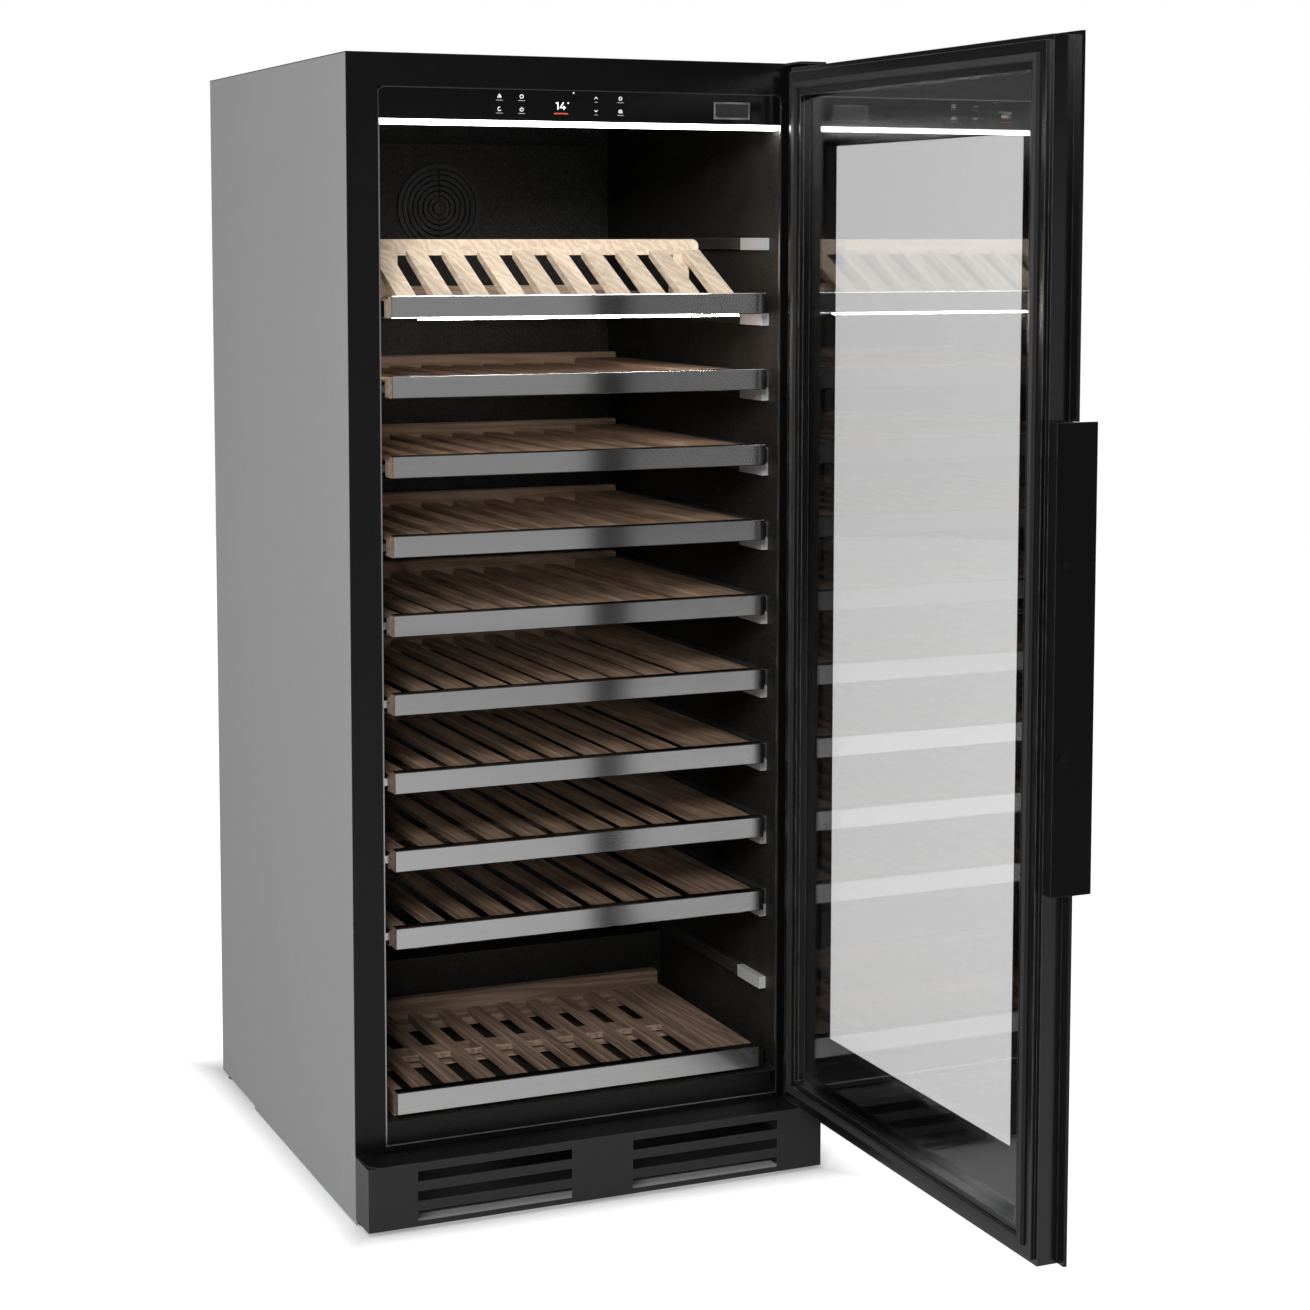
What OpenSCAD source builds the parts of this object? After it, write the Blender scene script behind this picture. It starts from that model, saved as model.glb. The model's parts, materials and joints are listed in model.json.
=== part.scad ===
// Tall free-standing wine cooler with a right-hinged glass door, shown with the door open.
// Origin: floor level, under the centre of the cabinet body. +Z up, front facing -Y. Millimetres.

/* [Cabinet] */
// Width of the cabinet body
body_w = 595; // [560:5:640]
// Depth of the cabinet body, without the door
body_d = 624; // [600:4:680]
// Height from the floor to the top
body_h = 1387; // [1380:1:1480]
// Width of the front frame around the opening
frame_w = 38; // [36:1:42]
// Thickness of the sheet metal
sheet = 1; // [0.8:0.1:1.5]
// Clearance between the floor and the side panels
floor_gap = 8; // [7:1:12]

/* [Cavity] */
// Height of the cavity floor
cavity_floor = 122; // [118:1:126]
// Depth of the cavity behind the front plane
cavity_d = 552; // [540:2:560]
// Thickness of the plastic liner
liner_t = 2; // [1.5:0.5:3]
// Height of the step over the compressor
hump_top = 212; // [200:2:214]
// Distance from the front plane to the step
hump_front = 365; // [360:1:380]

/* [Shelves] */
// Height of the top edge of the display shelf
display_z = 1106.2; // [1100:0.2:1110]
// Distance between shelves
pitch = 93.9; // [92:0.1:95]
// Height of a shelf's front bar
bar_h = 26; // [22:1:28]
// Half the width of a sliding shelf
shelf_half = 242.5; // [230:0.5:243]
// Depth of a sliding shelf, measured from the front plane
shelf_end = 500; // [480:2:510]
// Width of a slat of a sliding shelf
slat_w = 21; // [18:1:24]
// Distance between the slats of a sliding shelf
slat_pitch = 45.1; // [40:0.1:46]
// Width of a slat of the bottle rack
rack_slat_w = 24; // [20:1:28]

/* [Door] */
// Height of the door frame's lower edge
door_low = 87.7; // [87.5:0.1:89]
// Height of the door frame's upper edge
door_high = 1380.5; // [1378:0.5:1381]
// Width of the door frame's face
door_rim = 35; // [32:1:38]
// How far the front glass stands past the frame at the handle side
glass_lap = 12.5; // [8:0.5:14]
// Thickness of each glass pane
pane = 4; // [3:0.5:4]
// Width of the clear window
window_w = 444; // [400:2:460]
// Distance of the door's hinge axis in front of the cabinet
pivot_out = 29; // [29:0.5:32]
// Length of the handle
handle_l = 496; // [300:4:600]
// Angle at which the door stands open
door_open = 90; // [0:5:105]

/* [Kick plate] */
// Height of the kick plate
kick_h = 76; // [70:1:76]
// How far the kick plate stands in front of the cabinet
kick_out = 50; // [48:1:60]
// Length of an air slot
slot_l = 196.5; // [150:0.5:200]
// Height of an air slot
slot_h = 12.5; // [10:0.5:14]

/* [Hidden] */
$fn = 64;

// a cut is made this much longer than the wall it goes through
over = 1;
// joint gap between neighbouring boards and sheets
seam = 0.15;
half_w = body_w / 2;
front = -body_d / 2;
back = body_d / 2;
open_half = half_w - frame_w;
open_low = cavity_floor;
open_high = body_h - frame_w - 0.4;
frame_low = 87;
frame_t = 1.5;

// shelf 0 is the display shelf, shelves 1 to 8 slide on channels
shelf_count = 8;
function shelf_z(k) = display_z - k * pitch;
trim_t = 2;
trim_out = 5;
bar_back = 20;
flange_t = 0.7;
bar_front = trim_out + trim_t + seam;
rear_board = 18;

// wall rails: one more above the display shelf and one more below the last sliding shelf
rail_h = 15;
rail_in = 250.5;
rail_front = 32;
stop_l = 64;
rail_rest = 0.4;

// door, given in its closed position and turned about the hinge axis
door_left = -half_w + 2;
door_right = half_w - 1;
pivot_x = half_w - 14;
pivot_y = front - pivot_out;
pin_r = 4;
pin_play = 0.05;
gasket_face = 1;
inner_face = 5;
rim_face = 10.4;
rebate_face = 19;
glass_face = 35.4;
door_front = glass_face + 0.2 + pane;
glass_top = door_high + 3.3;
rebate = 8;
window_low = 185;
window_high = 1284;
handle_z = 736.5;
handle_reach = 60;
handle_t = 3;
screw_spread = 101;

// grille and fan on the duct cover
duct_half = 241.5;
duct_front = 538;
fan_z = body_h - 172;
grille_r = 59.5;
shaft_r = 3;
shaft_play = 0.05;

// compressor bay
bay_front = 398;
bay_top = 178;
pan_t = 1.5;
condenser_x = 140;
condenser_z = 88;
condenser_r = 62;

hinge_t = 2.4;
hinge_screws = [17, 32];
bracket_screw_x = 236;
bracket_screw_d = -10;
hole_r = 2.1;
shank_r = 2;
head_r = 4;
head_t = 1.4;
recess = 1.5;
bracket_z = 85.5;
bracket_t = 3;
foot_x = 275;
foot_depth = 8;
foot_r = 17;
foot_h = 6;
stem_r = 4.95;
rear_foot_x = 280;
rear_foot_depth = 606;
rear_foot_r = 14;

// Box between two corners, with depth counted back from the cabinet's front plane
module block(x0, x1, d0, d1, z0, z1)
  translate([x0, front + d0, z0]) cube([x1 - x0, d1 - d0, z1 - z0]);

// The same block on the left and on the right
module both(x0, x1, d0, d1, z0, z1) {
  block(x0, x1, d0, d1, z0, z1);
  block(-x1, -x0, d0, d1, z0, z1);
}

// Flat rectangle with round corners, built from true arcs
module round_rect(w, h, r) {
  square([w - 2 * r, h], center = true);
  square([w, h - 2 * r], center = true);
  for (sx = [-1, 1], sz = [-1, 1]) translate([sx * (w / 2 - r), sz * (h / 2 - r)]) circle(r);
}

// Closed ring of rectangular section, standing in the XZ plane
module ring(x0, x1, d0, d1, z0, z1, w)
  difference() {
    block(x0, x1, d0, d1, z0, z1);
    block(x0 + w, x1 - w, d0 - over, d1 + over, z0 + w, z1 - w);
  }

// Cylinder along Y
module rod_y(x, d0, d1, z, r)
  translate([x, front + d0, z]) rotate([-90, 0, 0]) cylinder(h = d1 - d0, r = r);

// Turns a closed door part about the hinge axis
module on_door()
  translate([pivot_x, pivot_y, 0]) rotate([0, 0, door_open]) translate([-pivot_x, -pivot_y, 0]) children();

// Room for the top hinge plate in the sheets around it
module hinge_pocket()
  block(pivot_x - 20.2, half_w + over, -over, 40.2, body_h - hinge_t - 0.1, body_h + over);

module side_panel() {
  difference() {
    block(-half_w, -half_w + 14, frame_t + 0.1, body_d, floor_gap, body_h - sheet - 0.1);
    block(-half_w + sheet, -half_w + 14 + over, frame_t + 0.1 - over, body_d - sheet,
          floor_gap - over, body_h);
  }
}

module left_side_panel() color([0.5, 0.5, 0.5]) side_panel();

module right_side_panel()
  color([0.5, 0.5, 0.5])
    difference() {
      mirror([1, 0, 0]) side_panel();
      hinge_pocket();
    }

module top_panel()
  color([0.03, 0.03, 0.03])
    difference() {
      block(-half_w, half_w, frame_t + 0.1, body_d, body_h - sheet, body_h);
      hinge_pocket();
    }

inlet_x = 220;
inlet_z = 262;
inlet_w = 48;
inlet_h = 28;

module back_panel()
  color([0.55, 0.56, 0.57])
    difference() {
      union() {
        block(-half_w + 16, half_w - 16, body_d - sheet, body_d, hump_top + 2, body_h - sheet - 0.1);
        for (i = [-2:2])
          block(i * 90 - 14, i * 90 + 14, body_d - sheet - 3, body_d - sheet,
                hump_top + 110, body_h - 70);
      }
      for (i = [-2:2])
        block(i * 90 - 12.5, i * 90 + 12.5, body_d - sheet - 1.8, body_d + over,
              hump_top + 111.5, body_h - 71.5);
      block(inlet_x - inlet_w / 2, inlet_x + inlet_w / 2, body_d - 6, body_d + over,
            inlet_z - inlet_h / 2, inlet_z + inlet_h / 2);
    }

module base_pan()
  color([0.6, 0.61, 0.62])
    difference() {
      union() {
        block(-half_w + 1.5, half_w - 1.5, 2, body_d - 2, floor_gap, floor_gap + pan_t);
        both(half_w - 2.7, half_w - 1.5, 2, 460, 1, floor_gap);
        for (sx = [-1, 1]) {
          translate([sx * foot_x, front + foot_depth, floor_gap + pan_t]) cylinder(h = 14, r = 6);
          translate([sx * rear_foot_x, front + rear_foot_depth, floor_gap + pan_t]) cylinder(h = 8, r = 6);
        }
      }
      for (sx = [-1, 1]) {
        translate([sx * foot_x, front + foot_depth, 0]) cylinder(h = 60, r = stem_r + pin_play);
        translate([sx * rear_foot_x, front + rear_foot_depth, 0]) cylinder(h = 60, r = 4);
      }
    }

// Formed sheet under the insulated box, with the riser in front of the compressor bay
module under_plate()
  color([0.55, 0.56, 0.57]) {
    block(-half_w + 16, half_w - 16, 14, bay_front, frame_low, frame_low + pan_t);
    block(-half_w + 16, half_w - 16, bay_front - pan_t, bay_front, frame_low, bay_top);
    block(-half_w + 16, half_w - 16, bay_front - pan_t, body_d - 6, bay_top - pan_t, bay_top);
  }

module front_frame()
  color([0.02, 0.02, 0.02])
    difference() {
      union() {
        block(-half_w, half_w, 0, frame_t, frame_low, body_h);
        block(-half_w + sheet + 0.2, half_w - sheet - 0.2, frame_t, 12, frame_low, body_h - sheet - 0.2);
      }
      block(-open_half, open_half, -over, 12 + over, open_low, open_high);
      block(-half_w + 3, half_w - 3, frame_t, 12 + over, frame_low + 1.5, body_h - 3);
      hinge_pocket();
    }

well_half = 170;
well_low = 967;
well_high = 1297;
well_d = 594;

// Moulded liner: cavity, step over the compressor and recess for the evaporator
module inner_liner()
  color([0.05, 0.05, 0.05])
    difference() {
      union() {
        block(-half_w + 5, half_w - 5, frame_t + 0.1, frame_t + 1.6, frame_low + 4, body_h - 5);
        block(-open_half - liner_t, open_half + liner_t, frame_t + 0.1, cavity_d + liner_t,
              cavity_floor - liner_t, open_high + liner_t);
        block(-well_half - liner_t, well_half + liner_t, cavity_d, well_d + liner_t,
              well_low - liner_t, well_high + liner_t);
      }
      difference() {
        block(-open_half, open_half, -over, cavity_d, cavity_floor, open_high);
        block(-half_w, half_w, hump_front, body_d, 0, hump_top);
      }
      block(-well_half, well_half, cavity_d - over, well_d, well_low, well_high);
      block(-half_w, half_w, hump_front + liner_t, body_d, 0, hump_top - liner_t);
    }

duct_low = hump_top + 14;
duct_high = 1302;

module duct_cover()
  color([0.05, 0.05, 0.05])
    difference() {
      block(-duct_half, duct_half, duct_front, cavity_d, duct_low, duct_high);
      block(-duct_half + 1.5, duct_half - 1.5, duct_front + 1.5, cavity_d + over,
            duct_low + 1.5, duct_high - 1.5);
      rod_y(0, duct_front - over, cavity_d + over, fan_z, grille_r - 6);
      for (i = [-4:4])
        block(i * 40 - 12, i * 40 + 12, duct_front - over, duct_front + 2, duct_low + 40, duct_low + 46);
    }

grille_out = 3.5;
grille_step = 7.4;
grille_ring = 5.2;
grille_rings = 7;
grille_screw = 54;

// Moulded ring grille on four spokes; the fan's shaft stands behind its centre
module fan_grille()
  color([0.06, 0.06, 0.06]) {
    difference() {
      for (i = [0:grille_rings - 1])
        difference() {
          rod_y(0, duct_front - grille_out - (i == 0 ? 1 : 0), duct_front - 0.1, fan_z,
                grille_r - i * grille_step);
          rod_y(0, duct_front - grille_out - 2, duct_front + over, fan_z,
                grille_r - i * grille_step - grille_ring);
        }
      for (w = [[grille_r - 8, 0.6], [0.6, grille_r - 8]])
        block(-w[0], w[0], duct_front - 10, duct_front - 1.6, fan_z - w[1], fan_z + w[1]);
    }
    rod_y(0, duct_front - grille_out, duct_front + 6, fan_z, 7.6);
    for (a = [0, 90])
      translate([0, 0, fan_z]) rotate([0, a + 45, 0]) translate([0, 0, -fan_z])
        block(-54, 54, duct_front - 1.8, duct_front - 0.1, fan_z - 1.5, fan_z + 1.5);
    rod_y(0, duct_front + 5, duct_front + 32, fan_z, shaft_r);
  }

// Fan wheel with pitched blades; bore runs on a fixed shaft. hub is the hub radius.
module fan_wheel(x, z, d0, d1, hub, r, blades)
  difference() {
    union() {
      rod_y(x, d0, d1, z, hub);
      for (i = [0:blades - 1])
        translate([x, front + (d0 + d1) / 2, z]) rotate([0, i * 360 / blades, 0])
          translate([hub - 2, 0, 0]) rotate([32, 0, 0])
            translate([0, -0.8, -(d1 - d0) * 0.7]) cube([r - hub + 2, 1.6, (d1 - d0) * 1.4]);
    }
    rod_y(x, d0 - over, d1 + over, z, shaft_r + shaft_play);
  }

module evaporator_fan()
  color([0.1, 0.1, 0.1]) fan_wheel(0, fan_z, duct_front + 10, duct_front + 28, 18, 48, 7);

// Finned coil: aluminium plates on copper hairpins
module evaporator_coil()
  color([0.75, 0.76, 0.78]) {
    for (i = [-13:13])
      block(i * 9 - 0.4, i * 9 + 0.4, cavity_d + 8, well_d - 6, well_low + 10, well_low + 120);
    for (row = [0:3], d = [0, 16])
      translate([-128, front + cavity_d + 14 + d, well_low + 24 + row * 27])
        rotate([0, 90, 0]) cylinder(h = 256, r = 4);
  }

panel_low = 1311.3;

module control_panel()
  color([0.01, 0.01, 0.012])
    translate([0, front + 28, 0]) rotate([90, 0, 0])
      linear_extrude(height = 26.5)
        intersection() {
          translate([0, (panel_low + open_high) / 2 - 5])
            round_rect(2 * open_half - 0.6, open_high - panel_low + 9.6, 8);
          translate([-open_half, panel_low]) square([2 * open_half, open_high - panel_low - 0.2]);
        }

module light_bar()
  color([1, 1, 1])
    block(-open_half + 0.3, open_half - 0.3, 1.8, 26, panel_low - 5.7, panel_low - seam);

// Blank plate at the right of the control panel
module badge_plate()
  color([0.2, 0.2, 0.2])
    difference() {
      block(168.6, 216.6, 0.5, 1.4, 1317.6, 1338.1);
      block(170, 215.2, 0.5 - over, 0.9, 1319, 1336.7);
    }

module wall_rails()
  color([0.08, 0.08, 0.08])
    for (k = [-1:shelf_count + 1])
      both(rail_in + 1, open_half - 0.1, rail_front + stop_l + seam, shelf_end,
           shelf_z(k) - bar_h - rail_rest - rail_h + 1, shelf_z(k) - bar_h - rail_rest);

module rail_stops()
  color([0.75, 0.75, 0.76])
    for (k = [-1:shelf_count + 1])
      both(rail_in, open_half - 0.1, rail_front, rail_front + stop_l,
           shelf_z(k) - bar_h - rail_rest - rail_h, shelf_z(k) - bar_h - rail_rest);

channel_in = 248;
channel_low = 26.2;
channel_high = 6;
channel_t = 1.5;

// Fixed half of each telescopic slide, open towards the shelf
module slide_channels()
  color([0.6, 0.6, 0.62])
    for (k = [1:shelf_count], side = [0, 1])
      mirror([side, 0, 0])
        difference() {
          block(channel_in, open_half - 0.2, rail_front, shelf_end - 8,
                shelf_z(k) - channel_low, shelf_z(k) - channel_high);
          block(channel_in - over, open_half - 0.2 - channel_t, rail_front - over, shelf_end,
                shelf_z(k) - channel_low + channel_t, shelf_z(k) - channel_high - channel_t);
        }

module top_hinge()
  color([0.03, 0.03, 0.03])
    difference() {
      union() {
        block(pivot_x - 20, half_w, -45, 40, body_h - hinge_t, body_h);
        translate([pivot_x, pivot_y, door_high - 18]) cylinder(h = body_h - hinge_t - door_high + 18.2, r = pin_r);
      }
      for (d = hinge_screws)
        translate([pivot_x, front + d, body_h - hinge_t - over]) {
          cylinder(h = hinge_t + 2 * over, r = hole_r);
          translate([0, 0, hinge_t + over - recess]) cylinder(h = recess + over, r = head_r + 0.2);
        }
    }

corner_r = 20;

// Plate between the cabinet and the kick plate; carries the lower hinge pin
module bottom_hinge()
  color([0.03, 0.03, 0.03])
    difference() {
      union() {
        translate([0, front - kick_out + 2.2, bracket_z - bracket_t])
          linear_extrude(height = bracket_t)
            union() {
              translate([-half_w + 2 + corner_r, 0]) square([body_w - 4 - 2 * corner_r, kick_out - 2.2]);
              translate([-half_w + 2, corner_r]) square([body_w - 4, kick_out - 2.2 - corner_r]);
              for (sx = [-1, 1]) translate([sx * (half_w - 2 - corner_r), corner_r]) circle(corner_r);
            }
        block(-half_w + 20, half_w - 20, -over, 30, bracket_z - bracket_t, bracket_z);
        translate([pivot_x, pivot_y, bracket_z - bracket_t]) cylinder(h = bracket_t + 19, r = pin_r);
      }
      for (x = [-bracket_screw_x, bracket_screw_x])
        translate([x, front + bracket_screw_d, bracket_z - bracket_t - over])
          cylinder(h = bracket_t + 2 * over, r = hole_r);
    }

kick_low = bracket_z - kick_h - 0.1;

module kick_plate()
  color([0.06, 0.06, 0.06])
    difference() {
      block(-half_w, half_w, -kick_out, -0.5, kick_low, bracket_z - 0.1);
      block(-half_w + pan_t, half_w - pan_t, -kick_out + pan_t, 0, kick_low - over, bracket_z + over);
      for (sx = [-1, 1], row = [-1:1])
        block(sx * 138.2 - slot_l / 2, sx * 138.2 + slot_l / 2, -kick_out - over, -kick_out + pan_t + over,
              kick_low + kick_h / 2 - 1.5 + row * 24.1 - slot_h / 2,
              kick_low + kick_h / 2 - 1.5 + row * 24.1 + slot_h / 2);
    }

compressor_x = -130;
compressor_d = 512;

// Sealed pot on a base plate with four rubber-mounted ears
module compressor()
  color([0.03, 0.03, 0.03])
    translate([compressor_x, front + compressor_d, 0]) {
      translate([0, 0, 26])
        rotate_extrude()
          union() {
            square([78, 80]);
            translate([0, 80]) square([48, 30]);
            translate([48, 80]) intersection() {
              circle(30);
              square([30, 30]);
            }
          }
      translate([0, 0, 64]) cylinder(h = 6, r = 82);
      translate([-95, -60, 22]) cube([190, 120, 4.5]);
      for (sx = [-1, 1], sy = [-1, 1])
        translate([sx * 84, sy * 48, floor_gap + pan_t]) cylinder(h = 13, r = 9);
      translate([60, -28, 80]) cube([40, 56, 52]);
    }

module condenser_coil()
  color([0.3, 0.3, 0.31]) {
    for (i = [-10:10])
      block(condenser_x + i * 7 - 0.4, condenser_x + i * 7 + 0.4, 412, 456, 14, 162);
    for (row = [0:4], d = [0, 22])
      translate([condenser_x - 84, front + 423 + d, 28 + row * 30]) rotate([0, 90, 0]) cylinder(h = 168, r = 4);
    condenser_ends();
  }

module condenser_ends()
  for (sx = [-1, 1])
    block(condenser_x + sx * 80 - 1, condenser_x + sx * 80 + 1, 410, 458, floor_gap + pan_t, 166);

// Square shroud behind the condenser; its spider holds the fan motor and shaft
module condenser_shroud()
  color([0.08, 0.08, 0.08]) {
    difference() {
      block(condenser_x - 84, condenser_x + 84, 459, 490, floor_gap + pan_t, 168);
      block(condenser_x - 81, condenser_x + 81, 458, 487, floor_gap + pan_t + 3, 165);
      rod_y(condenser_x, 450, 500, condenser_z, condenser_r);
    }
    for (a = [0, 90])
      translate([condenser_x, 0, condenser_z]) rotate([0, a + 45, 0]) translate([-condenser_x, 0, -condenser_z])
        block(condenser_x - 66, condenser_x + 66, 490, 494, condenser_z - 3, condenser_z + 3);
    rod_y(condenser_x, 490, 524, condenser_z, 24);
    rod_y(condenser_x, 466, 491, condenser_z, shaft_r);
  }

module condenser_fan()
  color([0.12, 0.12, 0.12]) fan_wheel(condenser_x, condenser_z, 466, 484, 20, 57, 5);

// Appliance inlet with three flat pins, set into the back panel
module power_inlet()
  color([0.05, 0.05, 0.05]) {
    difference() {
      block(inlet_x - inlet_w / 2 + 0.2, inlet_x + inlet_w / 2 - 0.2, body_d - 25, body_d,
            inlet_z - inlet_h / 2 + 0.2, inlet_z + inlet_h / 2 - 0.2);
      block(inlet_x - 14, inlet_x + 14, body_d - 19, body_d + over, inlet_z - 9, inlet_z + 9);
    }
    for (x = [-7, 0, 7])
      block(inlet_x + x - 1, inlet_x + x + 1, body_d - 22, body_d - 3,
            inlet_z - 2 + (x == 0 ? 3 : -2), inlet_z + 2 + (x == 0 ? 3 : -2));
  }

cross_half = 2.4;
cross_w = 0.5;

// Small pan-head screw with a cross slot in the duct cover, head towards the front
module screw_front(x, z)
  difference() {
    rod_y(x, duct_front - 1.8, duct_front - 0.05, z, 3);
    block(x - cross_half, x + cross_half, duct_front - 3, duct_front - 1, z - cross_w, z + cross_w);
    block(x - cross_w, x + cross_w, duct_front - 3, duct_front - 1, z - cross_half, z + cross_half);
  }

// Pan-head screw with a cross slot, head up and shank through the plate below
module screw_up(x, d, z)
  translate([x, front + d, z])
    difference() {
      union() {
        translate([0, 0, 0.05]) cylinder(h = head_t, r = head_r);
        translate([0, 0, -6]) cylinder(h = 6.5, r = shank_r);
      }
      translate([-cross_half, -cross_w, 0.8]) cube([2 * cross_half, 2 * cross_w, 2]);
      translate([-cross_w, -cross_half, 0.8]) cube([2 * cross_w, 2 * cross_half, 2]);
    }

module cabinet_screws()
  color([0.3, 0.3, 0.31]) {
    for (x = [-grille_screw, grille_screw]) screw_front(x, fan_z + grille_screw);
    screw_front(grille_r + 24, fan_z);
    for (sx = [-1, 1], z = [duct_low + 18, (duct_low + duct_high) / 2]) screw_front(sx * (duct_half - 9), z);
    for (x = [-bracket_screw_x, bracket_screw_x]) screw_up(x, bracket_screw_d, bracket_z);
    for (d = hinge_screws) screw_up(pivot_x, d, body_h - recess);
  }

module levelling_foot(x)
  color([0.03, 0.03, 0.03])
    translate([x, front + foot_depth, 0]) {
      cylinder(h = foot_h, r = foot_r);
      cylinder(h = floor_gap + pan_t + 20, r = stem_r);
    }

module front_left_foot() levelling_foot(-foot_x);
module front_right_foot() levelling_foot(foot_x);

module rear_feet()
  color([0.03, 0.03, 0.03])
    for (sx = [-1, 1])
      translate([sx * rear_foot_x, front + rear_foot_depth, 0]) {
        cylinder(h = floor_gap - 0.1, r = rear_foot_r);
        cylinder(h = floor_gap + pan_t + 6, r = 3.9);
      }

// Extruded frame with a lip towards the room side and a rebate for the glass
module door_frame()
  color([0.03, 0.03, 0.03])
    on_door()
      difference() {
        union() {
          ring(door_left, door_right, -rebate_face, -rim_face, door_low, door_high, door_rim);
          ring(door_left, door_right, -glass_face, -rebate_face, door_low, door_high, door_rim - rebate);
        }
        translate([pivot_x, pivot_y, door_low - over]) cylinder(h = 21 + over, r = pin_r + pin_play);
        translate([pivot_x, pivot_y, door_high - 21]) cylinder(h = 21 + over, r = pin_r + pin_play);
        for (dz = [-screw_spread, screw_spread])
          translate([door_left - over, front - 23, handle_z + dz]) rotate([0, 90, 0]) cylinder(h = 16, r = 2.05);
      }

inner_inset = 5.5;

module door_inner_frame()
  color([0.05, 0.05, 0.05])
    on_door()
      ring(door_left + inner_inset, door_right - inner_inset, -rim_face + 0.05, -inner_face,
           door_low + inner_inset, door_high - inner_inset, door_rim - inner_inset);

module outer_glass()
  color([0.7, 0.72, 0.74, 0.35])
    on_door()
      difference() {
        block(door_left - glass_lap, door_right, -door_front, -glass_face - 0.2, door_low, glass_top);
        block(door_left - glass_lap - over, door_left - 0.1, -door_front - over, -glass_face,
              handle_z - handle_l / 2 - 0.3, handle_z + handle_l / 2 + 0.3);
      }

pane_gap = 4;

module inner_glass()
  color([0.7, 0.72, 0.74, 0.35])
    on_door()
      block(door_left + door_rim - pane_gap, door_right - door_rim + pane_gap,
            -rebate_face - 0.2 - pane, -rebate_face - 0.2,
            door_low + door_rim - pane_gap, door_high - door_rim + pane_gap);

border_t = 0.6;
spacer_w = 9;

// Black printed borders behind both panes, with the spacer tube that holds the panes apart
module glazing_border()
  color([0.02, 0.02, 0.02])
    on_door()
      difference() {
        union() {
          block(door_left + door_rim - pane_gap, door_right - door_rim + pane_gap,
                -rebate_face - 0.3 - pane - border_t, -rebate_face - 0.3 - pane,
                door_low + door_rim - pane_gap, door_high - door_rim + pane_gap);
          block(door_left + door_rim - rebate + 0.2, door_right - door_rim + rebate - 0.2,
                -glass_face - 0.1, -glass_face + border_t - 0.1,
                door_low + door_rim - rebate + 0.2, door_high - door_rim + rebate - 0.2);
          block(-window_w / 2 - spacer_w, window_w / 2 + spacer_w, -glass_face, -rebate_face - 1 - pane,
                window_low - spacer_w, window_high + spacer_w);
        }
        block(-window_w / 2, window_w / 2, -glass_face - over, 0, window_low, window_high);
      }

gasket_inset = 17.5;
gasket_w = 9;

module door_gasket()
  color([0.1, 0.1, 0.1])
    on_door() {
      ring(door_left + gasket_inset, door_right - gasket_inset, -inner_face + 0.05, -3.4,
           door_low + gasket_inset, door_high - gasket_inset, gasket_w);
      ring(door_left + gasket_inset + 1, door_right - gasket_inset - 1, -3.4, -gasket_face,
           door_low + gasket_inset + 1, door_high - gasket_inset - 1, gasket_w - 2);
    }

// Bar on the door's free edge: a foot on the frame and a blade that stands out in front
module door_handle()
  color([0.03, 0.03, 0.03])
    on_door()
      difference() {
        union() {
          block(door_left - glass_lap - handle_t, door_left - glass_lap, -handle_reach, -11,
                handle_z - handle_l / 2, handle_z + handle_l / 2);
          block(door_left - glass_lap - over, door_left - 0.05, -35, -11,
                handle_z - handle_l / 2, handle_z + handle_l / 2);
        }
        for (dz = [-screw_spread, screw_spread])
          translate([door_left - glass_lap - 5, front - 23, handle_z + dz])
            rotate([0, 90, 0]) cylinder(h = 20, r = 2.2);
      }

module handle_screws()
  color([0.3, 0.3, 0.31])
    on_door()
      for (dz = [-screw_spread, screw_spread])
        translate([door_left - glass_lap - handle_t, front - 23, handle_z + dz])
          rotate([0, 90, 0])
            difference() {
              union() {
                translate([0, 0, -1.3]) cylinder(h = 1.25, r = head_r);
                translate([0, 0, -0.5]) cylinder(h = 28, r = shank_r);
              }
              translate([-cross_half, -cross_w, -2]) cube([2 * cross_half, 2 * cross_w, 1.4]);
              translate([-cross_w, -cross_half, -2]) cube([2 * cross_w, 2 * cross_half, 1.4]);
            }

// Board lying along the depth, with its long top edges taken off
module slat(x, w, d0, d1, z0, z1, edge = 1.2)
  translate([x, front + d1, 0]) rotate([90, 0, 0])
    linear_extrude(height = d1 - d0)
      polygon([[-w / 2, z0], [w / 2, z0], [w / 2, z1 - edge], [w / 2 - edge, z1],
               [-w / 2 + edge, z1], [-w / 2, z1 - edge]]);

// Board lying across the width, with its long top edges taken off
module cross(half, d0, d1, z0, z1, edge = 1)
  translate([-half, front, 0]) rotate([90, 0, 90])
    linear_extrude(height = 2 * half)
      polygon([[d0, z0], [d1, z0], [d1, z1 - edge], [d1 - edge, z1], [d0 + edge, z1], [d0, z1 - edge]]);

stringer_w = 16;
slat_top = 11;
slat_low = 20;
board_top = 5;
board_low = 19;

// Side board on its stringer; x0 and x1 are its edges, and sx tells which side it is on
module side_board(x0, x1, sx, half, z) {
  slat((x0 + x1) / 2, x1 - x0, bar_back + seam, shelf_end - rear_board - seam, z - board_low, z - board_top);
  slat(sx * (half - stringer_w / 2), stringer_w, bar_back + seam, shelf_end - rear_board - seam,
       z - bar_h, z - board_low - seam, 0.1);
}

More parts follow.
